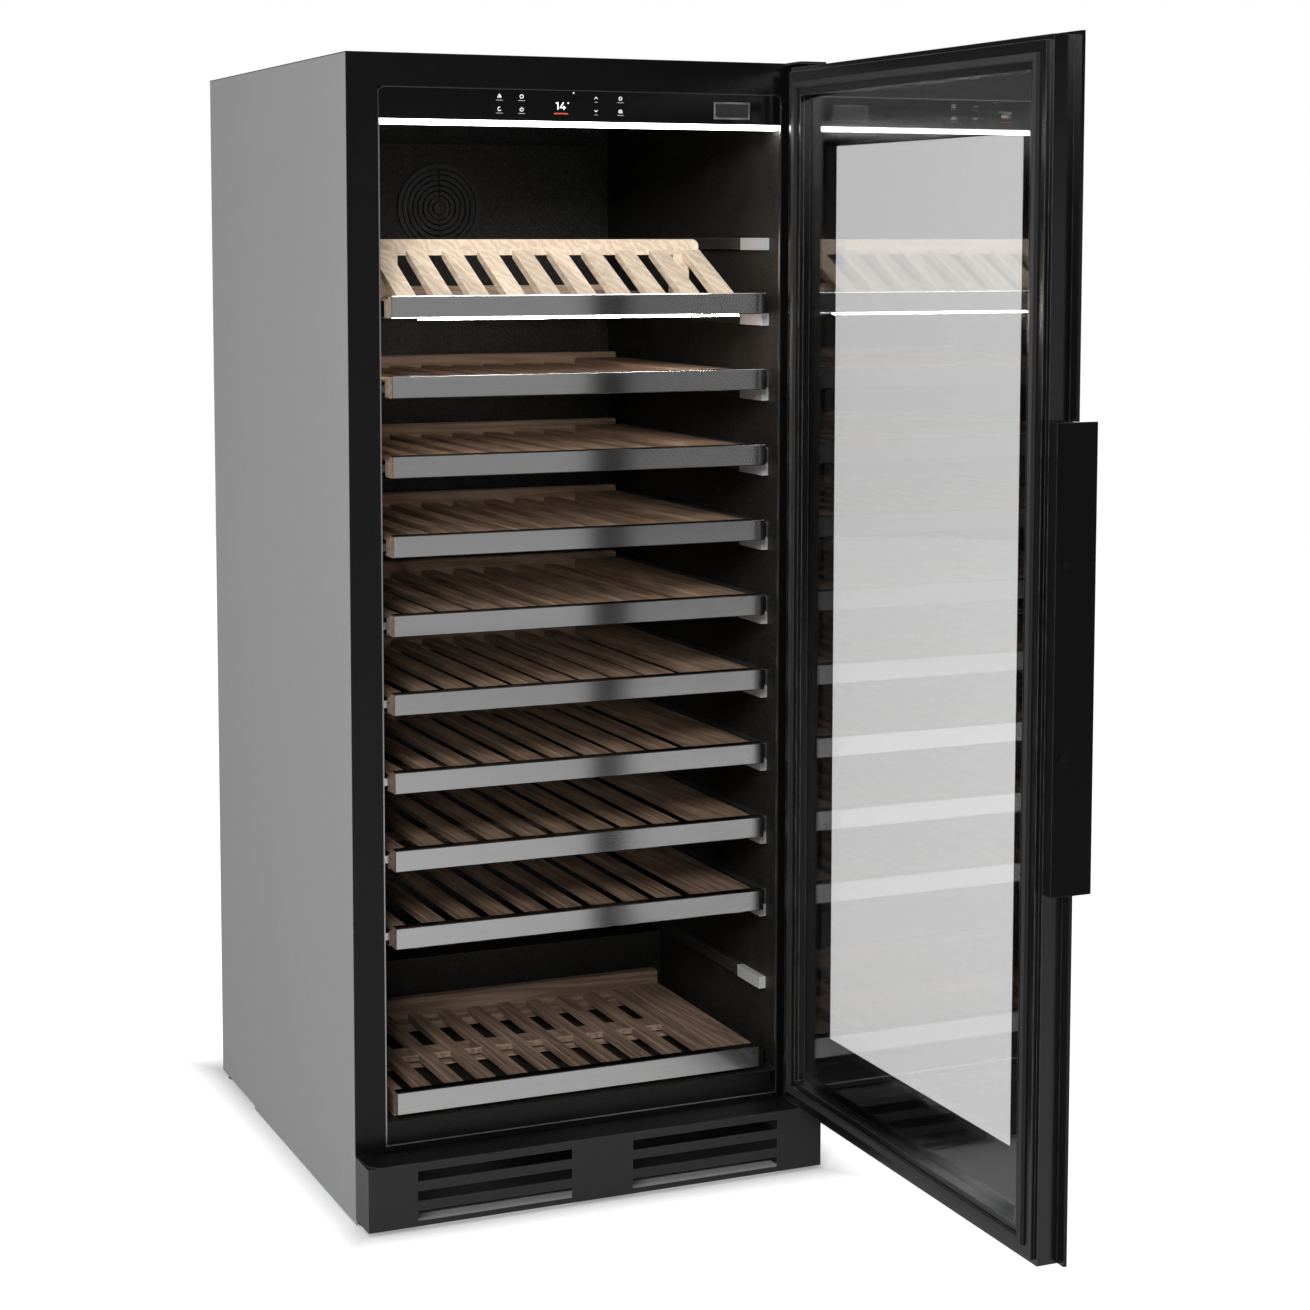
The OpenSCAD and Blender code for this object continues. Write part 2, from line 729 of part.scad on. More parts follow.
// Wooden grid: front bar, side boards on stringers, slats on a rear rail, raised rear board
module deck(k, half, left_w, right_w, first, count, w, step) {
  z = shelf_z(k);
  cross(half, bar_front, bar_back, z - bar_h, z - flange_t - seam);
  cross(half, shelf_end - rear_board, shelf_end, z - bar_h, z + 2.5, 2);
  side_board(-half, -half + left_w, -1, half, z);
  side_board(half - right_w, half, 1, half, z);
  for (i = [0:count - 1])
    slat(first + i * step, w, bar_back + seam, shelf_end - rear_board - seam, z - slat_low, z - slat_top);
  cross(half - stringer_w - seam, shelf_end - rear_board - seam - 14, shelf_end - rear_board - seam,
        z - bar_h, z - slat_low - seam, 0.1);
}

// Brushed front trim with its long edges taken off and a thin flange over the wooden bar
module trim(half, z0, z1)
  translate([-half, front, 0]) rotate([90, 0, 90])
    linear_extrude(height = 2 * half)
      polygon([[trim_out, z0 + 1], [trim_out + 1, z0], [trim_out + trim_t, z0],
               [trim_out + trim_t, z1 - flange_t], [bar_back, z1 - flange_t], [bar_back, z1],
               [trim_out + 1, z1], [trim_out, z1 - 1]]);

support_d = 48;
support_t = 1.2;

// Steel strip that carries the front ends of the slats
module slat_support(z)
  block(-shelf_half + stringer_w + seam, shelf_half - stringer_w - seam, bar_back + seam,
        bar_back + support_d, z - slat_low - seam - support_t, z - slat_low - seam);

// Steel parts of a sliding shelf: front trim, slat support and the moving half of both slides
module shelf_steel(k) {
  z = shelf_z(k);
  color([0.45, 0.45, 0.46]) {
    trim(shelf_half, z - bar_h, z);
    slat_support(z);
    both(shelf_half + seam, shelf_half + 2.6, bar_back + 6, shelf_end - 20, z - 25, z - 6.5);
    both(shelf_half + 2.5, runner_in, bar_back + 14, shelf_end - 24, z - 20.5, z - 11.5);
  }
}

runner_in = 252.5;
narrow_board = 23.3;
wide_board = 62.2;
first_slat = -171;
slats = 8;

module shelf_deck(k)
  color([0.4, 0.28, 0.2])
    deck(k, shelf_half, narrow_board, wide_board, first_slat, slats, slat_w, slat_pitch);

display_board = 57;
display_slats = 7;

module display_deck()
  color([0.75, 0.62, 0.5])
    deck(0, shelf_half, display_board, display_board, -3 * slat_pitch, display_slats, rack_slat_w, slat_pitch);

// Front trim of the display shelf and the fixed angles that carry it on the wall rails
module display_trim()
  color([0.4, 0.4, 0.41]) {
    trim(shelf_half, display_z - bar_h, display_z);
    both(shelf_half + seam, shelf_half + 2.6, bar_back + 6, shelf_end - 20, display_z - 26.2, display_z - 6.5);
    both(shelf_half + 2.5, open_half - 1, rail_front + stop_l + 2, shelf_end - 20,
         display_z - 26.2, display_z - 24);
  }

rack_pitch = 46.4;
rack_front = 48;
rack_back = 157;
rack_foot = display_z - 4.7;
rack_high = 1159;
rack_t = 10;
rack_rail = 16;
rack_rail_low = 1152.4;
rack_rail_high = 1172;
rack_rail_half = 220;

// Sloping rack that shows the bottles: slats, a round-ended rail at the back and its two legs
module display_rack()
  color([0.86, 0.76, 0.64]) {
    for (i = [-4.5:4.5])
      translate([i * rack_pitch - rack_slat_w / 2, front, 0]) rotate([90, 0, 90])
        linear_extrude(height = rack_slat_w)
          polygon([[rack_front, rack_foot], [rack_front + 21, rack_foot], [rack_back, rack_high - rack_t],
                   [rack_back, rack_high], [rack_front, rack_foot + 1.6]]);
    translate([0, front + rack_back + rack_rail + seam, (rack_rail_low + rack_rail_high) / 2])
      rotate([90, 0, 0])
        linear_extrude(height = rack_rail)
          round_rect(2 * rack_rail_half, rack_rail_high - rack_rail_low, 9);
    for (sx = [-1, 1])
      block(sx * 196 - 11, sx * 196 + 11, rack_back + 1, rack_back + rack_rail - 1,
            rack_foot, rack_rail_low - seam);
  }

module display_light()
  color([1, 0.98, 0.95])
    block(-207, 207, 9, 16, display_z - bar_h - 2.5, display_z - bar_h - seam);

bottom_end = 353;
bottom_z = 154.5;
bottom_bar_low = 127;
bottom_left_w = 16;
bottom_right_w = 50;
bottom_slat_w = 18;
bottom_pitch = 41.9;
bottom_first = -194.6;
bottom_slats = 10;
bottom_stringer = 20;
mid_front = 165;
mid_back = 200;
bottom_slat_low = 17;
bottom_slat_top = 8;

// Side board of the floor shelf on its stringer
module floor_board(x0, x1, sx) {
  slat((x0 + x1) / 2, x1 - x0, bar_back + seam, bottom_end - rear_board - seam,
       bottom_z - bottom_slat_low, bottom_z - 5);
  slat(sx * (shelf_half - bottom_stringer / 2), bottom_stringer, bar_back + seam,
       bottom_end - rear_board - seam, cavity_floor + 0.5, bottom_z - bottom_slat_low - seam, 0.1);
}

// Short floor shelf: long slats with a board let in between them, and a raised stop at the back
module bottom_deck()
  color([0.42, 0.3, 0.22]) {
    cross(shelf_half, bar_front, bar_back, bottom_bar_low, bottom_z - flange_t - seam);
    cross(shelf_half, bottom_end - rear_board, bottom_end, bottom_bar_low, bottom_z + 12, 2);
    floor_board(-shelf_half, -shelf_half + bottom_left_w, -1);
    floor_board(shelf_half - bottom_right_w, shelf_half, 1);
    cross(shelf_half - bottom_left_w - seam, mid_front, mid_back,
          bottom_z - bottom_slat_low + 0.5, bottom_z - bottom_slat_top - 1.2);
    for (i = [0:bottom_slats - 1])
      slat(bottom_first + i * bottom_pitch, bottom_slat_w, bar_back + seam,
           bottom_end - rear_board - seam, bottom_z - bottom_slat_low, bottom_z - bottom_slat_top);
    cross(shelf_half - bottom_stringer - seam, bottom_end - rear_board - seam - 16,
          bottom_end - rear_board - seam, cavity_floor + 5, bottom_z - bottom_slat_low - seam, 0.1);
    cross(shelf_half - bottom_stringer - seam, mid_front + 6, mid_back - 6,
          cavity_floor + 5, bottom_z - bottom_slat_low - seam, 0.1);
  }

module bottom_trim() color([0.42, 0.42, 0.43]) trim(shelf_half, bottom_bar_low, bottom_z);

left_side_panel();
right_side_panel();
top_panel();
back_panel();
base_pan();
under_plate();
front_frame();
inner_liner();
duct_cover();
fan_grille();
evaporator_coil();
control_panel();
light_bar();
badge_plate();
wall_rails();
rail_stops();
slide_channels();
top_hinge();
bottom_hinge();
kick_plate();
compressor();
condenser_coil();
condenser_shroud();
power_inlet();
cabinet_screws();
rear_feet();
front_left_foot();
front_right_foot();
evaporator_fan();
condenser_fan();
door_frame();
door_inner_frame();
outer_glass();
inner_glass();
glazing_border();
door_gasket();
door_handle();
handle_screws();
display_deck();
display_rack();
display_trim();
display_light();
shelf_deck(1);  // shelf_1_deck
shelf_steel(1);  // shelf_1_steel
shelf_deck(2);  // shelf_2_deck
shelf_steel(2);  // shelf_2_steel
shelf_deck(3);  // shelf_3_deck
shelf_steel(3);  // shelf_3_steel
shelf_deck(4);  // shelf_4_deck
shelf_steel(4);  // shelf_4_steel
shelf_deck(5);  // shelf_5_deck
shelf_steel(5);  // shelf_5_steel
shelf_deck(6);  // shelf_6_deck
shelf_steel(6);  // shelf_6_steel
shelf_deck(7);  // shelf_7_deck
shelf_steel(7);  // shelf_7_steel
shelf_deck(8);  // shelf_8_deck
shelf_steel(8);  // shelf_8_steel
bottom_deck();
bottom_trim();
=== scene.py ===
"""Wine cooler: finishes, control icons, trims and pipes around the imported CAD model."""
import json
import math

import bpy
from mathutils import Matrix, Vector


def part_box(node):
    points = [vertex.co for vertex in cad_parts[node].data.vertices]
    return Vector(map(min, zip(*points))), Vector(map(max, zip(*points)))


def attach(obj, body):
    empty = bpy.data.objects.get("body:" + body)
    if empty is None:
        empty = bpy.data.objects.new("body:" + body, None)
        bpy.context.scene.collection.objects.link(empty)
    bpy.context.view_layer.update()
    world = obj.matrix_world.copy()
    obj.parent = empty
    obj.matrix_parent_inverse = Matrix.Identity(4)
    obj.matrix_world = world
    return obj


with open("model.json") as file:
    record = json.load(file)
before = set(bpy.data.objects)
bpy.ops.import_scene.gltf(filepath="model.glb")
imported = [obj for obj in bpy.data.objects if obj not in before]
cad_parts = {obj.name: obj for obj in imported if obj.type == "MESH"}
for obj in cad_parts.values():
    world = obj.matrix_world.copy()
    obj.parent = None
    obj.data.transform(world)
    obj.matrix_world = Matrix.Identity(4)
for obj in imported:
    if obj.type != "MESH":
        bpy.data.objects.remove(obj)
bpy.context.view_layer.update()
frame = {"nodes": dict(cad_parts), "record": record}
NODES = frame["nodes"]
RECORD = frame["record"]
SLOT_OF = {part["node"]: part["material_slot"] for part in RECORD["subparts"]}
mm = 0.001

# ---------------------------------------------------------------- places read from the frame

frame_lo, frame_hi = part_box("front_frame")
liner_lo, liner_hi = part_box("inner_liner")
panel_lo, panel_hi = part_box("control_panel")
bar_lo, bar_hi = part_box("light_bar")
compressor_lo, compressor_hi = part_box("compressor")
condenser_lo, condenser_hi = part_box("condenser_coil")
border_lo, border_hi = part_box("glazing_border")
FRONT = frame_lo[1]
OPEN_HALF = bar_hi[0] + 0.3 * mm
PANEL_FACE = panel_lo[1]
SHELVES = 8
WINDOW = (444 * mm, 1099 * mm)
# Depth of the boards across a shelf, and how far under a deck's top the cross rails begin.
FRONT_BAR = 12.9 * mm
REAR_BOARD = 18.1 * mm
RAIL_DROP = 22.7 * mm
FLOOR_RAIL_DROP = 29.5 * mm
WINDOW_Y = tuple((border_lo[1] + border_hi[1] + k * WINDOW[0]) / 2 for k in (-1, 1))
WINDOW_Z = tuple((border_lo[2] + border_hi[2] + k * WINDOW[1]) / 2 for k in (-1, 1))

# ---------------------------------------------------------------- materials


class Shader:
    """A material's node tree with short calls to add nodes and links."""

    def __init__(self, name, material=None):
        self.material = material or bpy.data.materials.new(name)
        self.material.use_nodes = True
        self.tree = self.material.node_tree
        self.bsdf = self.tree.nodes["Principled BSDF"]
        self.coords = self.add("ShaderNodeTexCoord").outputs["Object"]

    def add(self, kind, **values):
        node = self.tree.nodes.new(kind)
        for key, value in values.items():
            setattr(node, key, value)
        return node

    def put(self, socket, value):
        if isinstance(value, bpy.types.NodeSocket):
            self.tree.links.new(value, socket)
        else:
            socket.default_value = value

    def math(self, operation, a, b=0.0, clamp=False):
        node = self.add("ShaderNodeMath", operation=operation, use_clamp=clamp)
        self.put(node.inputs[0], a)
        self.put(node.inputs[1], b)
        return node.outputs[0]

    def stretch(self, scale, source=None):
        node = self.add("ShaderNodeVectorMath", operation="MULTIPLY")
        self.put(node.inputs[0], source or self.coords)
        node.inputs[1].default_value = scale
        return node.outputs[0]

    def noise(self, scale, detail=4.0, rough=0.55, vector=None, distortion=0.0):
        node = self.add("ShaderNodeTexNoise")
        self.put(node.inputs["Vector"], vector or self.coords)
        node.inputs["Scale"].default_value = scale
        node.inputs["Detail"].default_value = detail
        node.inputs["Roughness"].default_value = rough
        node.inputs["Distortion"].default_value = distortion
        return node.outputs[0]

    def span(self, value, low, high, to_low, to_high):
        node = self.add("ShaderNodeMapRange")
        self.put(node.inputs[0], value)
        for index, number in enumerate((low, high, to_low, to_high), start=1):
            self.put(node.inputs[index], number)
        return node.outputs[0]

    def mix(self, factor, a, b):
        node = self.add("ShaderNodeMix", data_type="RGBA")
        self.put(node.inputs[0], factor)
        self.put(node.inputs[6], a if isinstance(a, bpy.types.NodeSocket) else (*a, 1.0))
        self.put(node.inputs[7], b if isinstance(b, bpy.types.NodeSocket) else (*b, 1.0))
        return node.outputs[2]

    def bounces(self):
        """How many diffuse and glossy bounces a ray has behind it: 0 when seen straight or through glass."""
        path = self.add("ShaderNodeLightPath").outputs
        return self.math("ADD", path["Diffuse Depth"], path["Glossy Depth"])

    def axis(self, index, source=None):
        node = self.add("ShaderNodeSeparateXYZ")
        self.put(node.inputs[0], source or self.coords)
        return node.outputs[index]

    def lit_edge_mask(self, radius):
        """1 on the outer edges, 0 on the faces: the mask for the highlight painted on the edges."""
        bevel = self.add("ShaderNodeBevel", samples=4)
        bevel.inputs["Radius"].default_value = radius
        normal = self.add("ShaderNodeNewGeometry").outputs["Normal"]
        dot = self.add("ShaderNodeVectorMath", operation="DOT_PRODUCT")
        self.put(dot.inputs[0], bevel.outputs[0])
        self.put(dot.inputs[1], normal)
        return self.span(dot.outputs["Value"], 0.995, 0.9, 0.0, 1.0)

    def bump(self, height, strength, distance):
        node = self.add("ShaderNodeBump")
        self.put(node.inputs["Height"], height)
        node.inputs["Strength"].default_value = strength
        node.inputs["Distance"].default_value = distance
        self.put(self.bsdf.inputs["Normal"], node.outputs[0])

    def set(self, **values):
        for key, value in values.items():
            self.put(self.bsdf.inputs[key.replace("_", " ")], value)
        return self.material


def tone(colour, k):
    return tuple(min(1.0, c * k) for c in colour)


def coated(name, colour, rough=0.4, metal=0.0, spread=0.1, grain=900.0, relief=0.04, edge_highlight=0.0,
           highlight_colour=(0.3, 0.3, 0.3), spec=0.5, cloud=6.0):
    """Paint or plain plastic: cloudy tone, fine orange peel, and a patchy painted highlight that makes the
    edges lighter.
    """
    s = Shader(name)
    base = s.mix(s.noise(cloud, 5.0), tone(colour, 1 - spread), tone(colour, 1 + spread))
    # Painted highlight: the outer edges are mixed towards a lighter colour, with a patchy strength along
    # them.
    if edge_highlight:
        edge = s.math("MULTIPLY", s.lit_edge_mask(0.0012), s.span(s.noise(60.0), 0.35, 0.65, 0.3 * edge_highlight, edge_highlight))
        base = s.mix(edge, base, highlight_colour)
    s.bump(s.noise(grain, 2.0), relief, 0.0004)
    roughness = s.span(s.noise(25.0, 3.0), 0.3, 0.7, rough * 0.95, rough * 1.05)
    return s.set(Base_Color=base, Roughness=roughness, Metallic=metal, Specular_IOR_Level=spec)


def stucco(name, colour, pitch, relief, rough=0.5):
    """Embossed plastic liner: small flat lumps with soft valleys."""
    s = Shader(name)
    cells = s.add("ShaderNodeTexVoronoi", feature="SMOOTH_F1")
    s.put(cells.inputs["Vector"], s.coords)
    cells.inputs["Scale"].default_value = pitch
    lumps = s.math("ADD", cells.outputs["Distance"], s.math("MULTIPLY", s.noise(pitch * 1.7, 2.0), 0.6))
    specks = s.span(s.noise(pitch * 0.9, 2.0), 0.52, 0.7, 0.0, 1.0)
    base = s.mix(s.noise(5.0, 4.0), tone(colour, 0.7), tone(colour, 1.2))
    base = s.mix(specks, base, tone(colour, 5.0))
    # Painted highlight: the edges of the liner and duct are mixed towards a much lighter tone.
    base = s.mix(s.math("MULTIPLY", s.lit_edge_mask(0.002), 0.8), base, tone(colour, 8.0))
    s.bump(lumps, relief, 0.0015)
    return s.set(Base_Color=base, Roughness=s.span(s.noise(30.0), 0.3, 0.7, rough * 0.85, rough * 1.15))


def brushed(name, colour, along, rough=0.3, relief=0.05, edge_highlight=0.4):
    """Metal brushed along one axis (0, 1 or 2)."""
    s = Shader(name)
    scale = [1400.0, 1400.0, 1400.0]
    scale[along] = 12.0
    lines = s.noise(1.0, 3.0, vector=s.stretch(scale))
    base = s.mix(s.span(lines, 0.25, 0.75, 0.0, 1.0), tone(colour, 0.96), tone(colour, 1.04))
    # Painted highlight: the edges are mixed towards a lighter tone of the metal.
    base = s.mix(s.math("MULTIPLY", s.lit_edge_mask(0.0008), edge_highlight), base, tone(colour, 1.7))
    s.bump(lines, relief, 0.0002)
    roughness = s.math("ADD", s.span(lines, 0.2, 0.8, rough * 0.92, rough * 1.08),
                       s.span(s.noise(9.0), 0.3, 0.7, -0.01, 0.01))
    return s.set(Base_Color=base, Roughness=roughness, Metallic=1.0)


def wood(name, light, dark, across=(), below=None, rough=0.5):
    """Planed slats: grain runs along Y, or along X between the given Y limits and below one height.

    Each board takes its own tone and its own stretch of grain.
    """
    s = Shader(name)
    board = s.add("ShaderNodeNewGeometry").outputs["Random Per Island"]
    y = s.axis(1)
    turned = 0.0
    for low, high in across:
        inside = s.math("MULTIPLY", s.math("GREATER_THAN", y, low), s.math("LESS_THAN", y, high))
        turned = s.math("MAXIMUM", turned, inside)
    if below is not None:
        turned = s.math("MAXIMUM", turned, s.math("LESS_THAN", s.axis(2), below))
    shift = s.add("ShaderNodeVectorMath", operation="ADD")
    s.put(shift.inputs[0], s.coords)
    s.put(shift.inputs[1], s.math("MULTIPLY", board, 7.0))
    along_y = s.stretch((1.0, 0.055, 1.0), shift.outputs[0])
    along_x = s.stretch((0.055, 1.0, 1.0), shift.outputs[0])
    pick = s.add("ShaderNodeMix", data_type="VECTOR")
    s.put(pick.inputs[0], turned)
    s.put(pick.inputs[4], along_y)
    s.put(pick.inputs[5], along_x)
    way = pick.outputs[1]
    rings = s.add("ShaderNodeTexWave", wave_type="BANDS", bands_direction="DIAGONAL")
    s.put(rings.inputs["Vector"], way)
    rings.inputs["Scale"].default_value = 42.0
    rings.inputs["Distortion"].default_value = 9.0
    rings.inputs["Detail"].default_value = 3.0
    rings.inputs["Detail Scale"].default_value = 1.4
    pores = s.noise(520.0, 3.0, 0.6, way)
    figure = s.math("ADD", s.math("MULTIPLY", rings.outputs["Fac"], 0.55), s.math("MULTIPLY", pores, 0.45))
    base = s.mix(s.span(figure, 0.2, 0.8, 0.0, 1.0), dark, light)
    base = s.mix(s.span(pores, 0.62, 0.75, 0.0, 0.45), base, tone(dark, 0.62))
    shade = s.mix(board, (0.84, 0.83, 0.81), (1.14, 1.12, 1.1))
    tint = s.add("ShaderNodeMix", data_type="RGBA", blend_type="MULTIPLY")
    tint.inputs[0].default_value = 1.0
    s.put(tint.inputs[6], base)
    s.put(tint.inputs[7], shade)
    # Painted highlight: the slat edges are mixed towards a lighter wood tone.
    base = s.mix(s.math("MULTIPLY", s.lit_edge_mask(0.0012), 0.55), tint.outputs[2], tone(light, 1.35))
    s.bump(figure, 0.12, 0.0006)
    return s.set(Base_Color=base, Roughness=s.span(pores, 0.3, 0.7, rough * 0.9, rough * 1.15),
                 Specular_IOR_Level=0.35)


def glowing(name, colour, strength):
    """Frosted diffuser: even light with a faint cloudiness."""
    s = Shader(name)
    cloud = s.mix(s.noise(30.0), tone(colour, 0.97), colour)
    return s.set(Base_Color=cloud, Emission_Color=cloud, Emission_Strength=strength, Roughness=0.5)


def pane(name, tint):
    """Clear tinted glass with faint smears in its polish."""
    s = Shader(name)
    smear = s.span(s.noise(7.0, 5.0, 0.6, distortion=1.5), 0.45, 0.75, 0.0, 0.035)
    base = s.mix(s.noise(2.0), tint, tone(tint, 0.985))
    s.bump(s.noise(1.6, 1.0), 0.02, 0.0005)
    return s.set(Base_Color=base, Roughness=smear, Transmission_Weight=1.0, IOR=1.5)


def printed_pane(name, tint, window_y, window_z):
    """Glass with a black ceramic print all round a clear window."""
    s = Shader(name, pane(name, tint))
    clear = 1.0
    for index, (low, high) in ((1, window_y), (2, window_z)):
        place = s.axis(index)
        clear = s.math("MULTIPLY", clear, s.math("GREATER_THAN", place, low))
        clear = s.math("MULTIPLY", clear, s.math("LESS_THAN", place, high))
    base = s.mix(clear, (0.003, 0.003, 0.003), tint)
    roughness = s.span(clear, 0.0, 1.0, 0.12, 0.01)
    return s.set(Base_Color=base, Roughness=roughness, Transmission_Weight=clear)


def finned(name, colour, metal):
    """Stamped fins and tubes with a dusty film."""
    s = Shader(name)
    dust = s.span(s.noise(35.0, 5.0), 0.5, 0.8, 0.0, 0.35)
    base = s.mix(dust, s.mix(s.noise(12.0), tone(colour, 0.85), tone(colour, 1.1)), (0.2, 0.19, 0.17))
    s.bump(s.noise(300.0), 0.1, 0.0004)
    return s.set(Base_Color=base, Roughness=s.span(dust, 0.0, 0.35, 0.35, 0.6), Metallic=metal)


def shelf_limits(node):
    """Y limits of the front bar and of the rear board, which run across the shelf."""
    low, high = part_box(node)
    return ((low[1] - mm, low[1] + FRONT_BAR), (high[1] - REAR_BOARD, high[1] + mm))


def blend(a, b, k):
    return tuple(x + (y - x) * k for x, y in zip(a, b))


def shelf_wood(name, node, light, dark):
    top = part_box(node)[1][2]
    drop = FLOOR_RAIL_DROP if node.startswith("bottom") else RAIL_DROP
    return wood(name, light, dark, shelf_limits(node), top - drop)


MATERIALS = {
    "side_paint": coated("side_paint", (0.235, 0.235, 0.237), 0.55, spread=0.015, cloud=2.0, edge_highlight=0.15,
                         highlight_colour=(0.4, 0.4, 0.4)),
    "black_paint": coated("black_paint", (0.004, 0.004, 0.004), 0.38, edge_highlight=0.2),
    "frame_paint": coated("frame_paint", (0.002, 0.002, 0.002), 0.28, edge_highlight=0.3,
                          highlight_colour=(0.06, 0.06, 0.06), spec=0.35),
    "zinc_sheet": brushed("zinc_sheet", (0.48, 0.49, 0.51), 2, 0.42, edge_highlight=0.2),
    "liner": stucco("liner", (0.006, 0.0057, 0.005), 420.0, 0.5, 0.5),
    "duct_plastic": stucco("duct_plastic", (0.007, 0.0066, 0.006), 420.0, 0.5, 0.45),
    "grille_plastic": coated("grille_plastic", (0.016, 0.0155, 0.015), 0.4, edge_highlight=0.1),
    "coil_metal": finned("coil_metal", (0.7, 0.71, 0.72), 1.0),
    "panel_black": coated("panel_black", (0.0025, 0.0025, 0.0025), 0.16, relief=0.01, spread=0.05,
                          edge_highlight=0.4, highlight_colour=(0.2, 0.2, 0.2)),
    "light_diffuser": glowing("light_diffuser", (1.0, 1.0, 1.0), 9.0),
    "badge_metal": coated("badge_metal", (0.02, 0.02, 0.02), 0.3, edge_highlight=1.0, highlight_colour=(0.5, 0.5, 0.5)),
    "rail_plastic": coated("rail_plastic", (0.02, 0.02, 0.02), 0.45, edge_highlight=0.4),
    "stop_plastic": coated("stop_plastic", (0.4, 0.4, 0.4), 0.45, edge_highlight=0.5, highlight_colour=(0.6, 0.6, 0.6)),
    "slide_zinc": brushed("slide_zinc", (0.4, 0.4, 0.42), 1, 0.35),
    "hinge_paint": coated("hinge_paint", (0.004, 0.004, 0.004), 0.35, edge_highlight=0.6,
                          highlight_colour=(0.25, 0.25, 0.25)),
    "kick_paint": coated("kick_paint", (0.011, 0.011, 0.011), 0.34, edge_highlight=0.3,
                         highlight_colour=(0.15, 0.15, 0.15)),
    "compressor_paint": coated("compressor_paint", (0.012, 0.012, 0.013), 0.25, edge_highlight=0.3, cloud=20.0),
    "condenser_metal": finned("condenser_metal", (0.06, 0.06, 0.065), 0.6),
    "shroud_plastic": coated("shroud_plastic", (0.02, 0.02, 0.021), 0.5, edge_highlight=0.3),
    "inlet_plastic": coated("inlet_plastic", (0.015, 0.015, 0.015), 0.45, edge_highlight=0.4),
    "screw_steel": brushed("screw_steel", (0.03, 0.03, 0.031), 0, 0.4),
    "foot_rubber": coated("foot_rubber", (0.012, 0.012, 0.012), 0.7, relief=0.15, spread=0.25),
    "fan_plastic": coated("fan_plastic", (0.03, 0.03, 0.031), 0.45, edge_highlight=0.3),
    "door_paint": coated("door_paint", (0.0015, 0.0015, 0.0015), 0.2, edge_highlight=0.6,
                         highlight_colour=(0.16, 0.16, 0.16), spec=0.9),
    "door_lining": coated("door_lining", (0.0015, 0.0015, 0.0015), 0.24, edge_highlight=0.8,
                          highlight_colour=(0.16, 0.16, 0.16), spec=0.6),
    "outer_pane": printed_pane("outer_pane", (0.87, 0.87, 0.87), WINDOW_Y, WINDOW_Z),
    "inner_pane": pane("inner_pane", (0.87, 0.87, 0.87)),
    "glass_print": coated("glass_print", (0.002, 0.002, 0.002), 0.2, relief=0.01, spread=0.2),
    "gasket_rubber": coated("gasket_rubber", (0.012, 0.012, 0.012), 0.6, relief=0.12, spread=0.2),
    "handle_paint": coated("handle_paint", (0.001, 0.001, 0.001), 0.34, edge_highlight=0.6,
                           highlight_colour=(0.1, 0.1, 0.1), spec=0.2),
    "trim_steel": brushed("trim_steel", (0.66, 0.66, 0.66), 0, 0.12, relief=0.008, edge_highlight=0.2),
    "strip_light": glowing("strip_light", (1.0, 0.97, 0.93), 70.0),
}
PALE = ((0.80, 0.68, 0.55), (0.66, 0.52, 0.39))
# Painted shade: the shelf decks are copies of one oak, lighter at the top and darker further down the
# cabinet.
LIT_TOP_OAK = ((0.50, 0.36, 0.265), (0.34, 0.225, 0.15))
SHADED_LOW_OAK = ((0.24, 0.165, 0.12), (0.13, 0.082, 0.056))
MATERIALS["rack_wood"] = wood("rack_wood", *PALE)
MATERIALS["display_wood"] = shelf_wood("display_wood", "display_deck", (0.66, 0.52, 0.4), (0.5, 0.36, 0.26))
# Each shelf's oak is darkened by its place down the cabinet: painted shade.
for k in range(1, SHELVES + 1):
    depth = (k - 1) / (SHELVES - 1)
    MATERIALS[f"shelf_wood_{k}"] = shelf_wood(
        f"shelf_wood_{k}", f"shelf_{k}_deck", blend(LIT_TOP_OAK[0], SHADED_LOW_OAK[0], depth),
        blend(LIT_TOP_OAK[1], SHADED_LOW_OAK[1], depth))
FLOOR_OAK = ((0.28, 0.195, 0.145), (0.16, 0.105, 0.075))
MATERIALS["bottom_wood"] = shelf_wood("bottom_wood", "bottom_deck", *FLOOR_OAK)

for name, node in NODES.items():
    node.data.materials.clear()
    node.data.materials.append(MATERIALS[SLOT_OF[name]])

# ---------------------------------------------------------------- rounded edges on the CAD nodes


def soften(node, width, segments=2):
    """Rounds a node's sharp edges, so that they catch the light."""
    bevel = NODES[node].modifiers.new("edges", "BEVEL")
    bevel.width = width
    bevel.segments = segments
    bevel.limit_method = "ANGLE"
    bevel.angle_limit = math.radians(40)
    bevel.use_clamp_overlap = True
    bevel.harden_normals = False


for name in ("door_frame", "door_inner_frame", "door_handle", "kick_plate"):
    soften(name, 0.8 * mm)
for name in ("control_panel", "bottom_hinge", "top_hinge", "badge_plate"):
    soften(name, 0.4 * mm)

# ---------------------------------------------------------------- mesh pieces


def piece(name, verts, faces, material, body="cabinet", smooth=False):
    mesh = bpy.data.meshes.new(name)
    mesh.from_pydata(verts, [], faces)
    mesh.validate()
    mesh.update()
    for polygon in mesh.polygons:
        polygon.use_smooth = smooth
    obj = bpy.data.objects.new(name, mesh)
    bpy.context.scene.collection.objects.link(obj)
    mesh.materials.append(MATERIALS[material])
    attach(obj, body)
    return obj


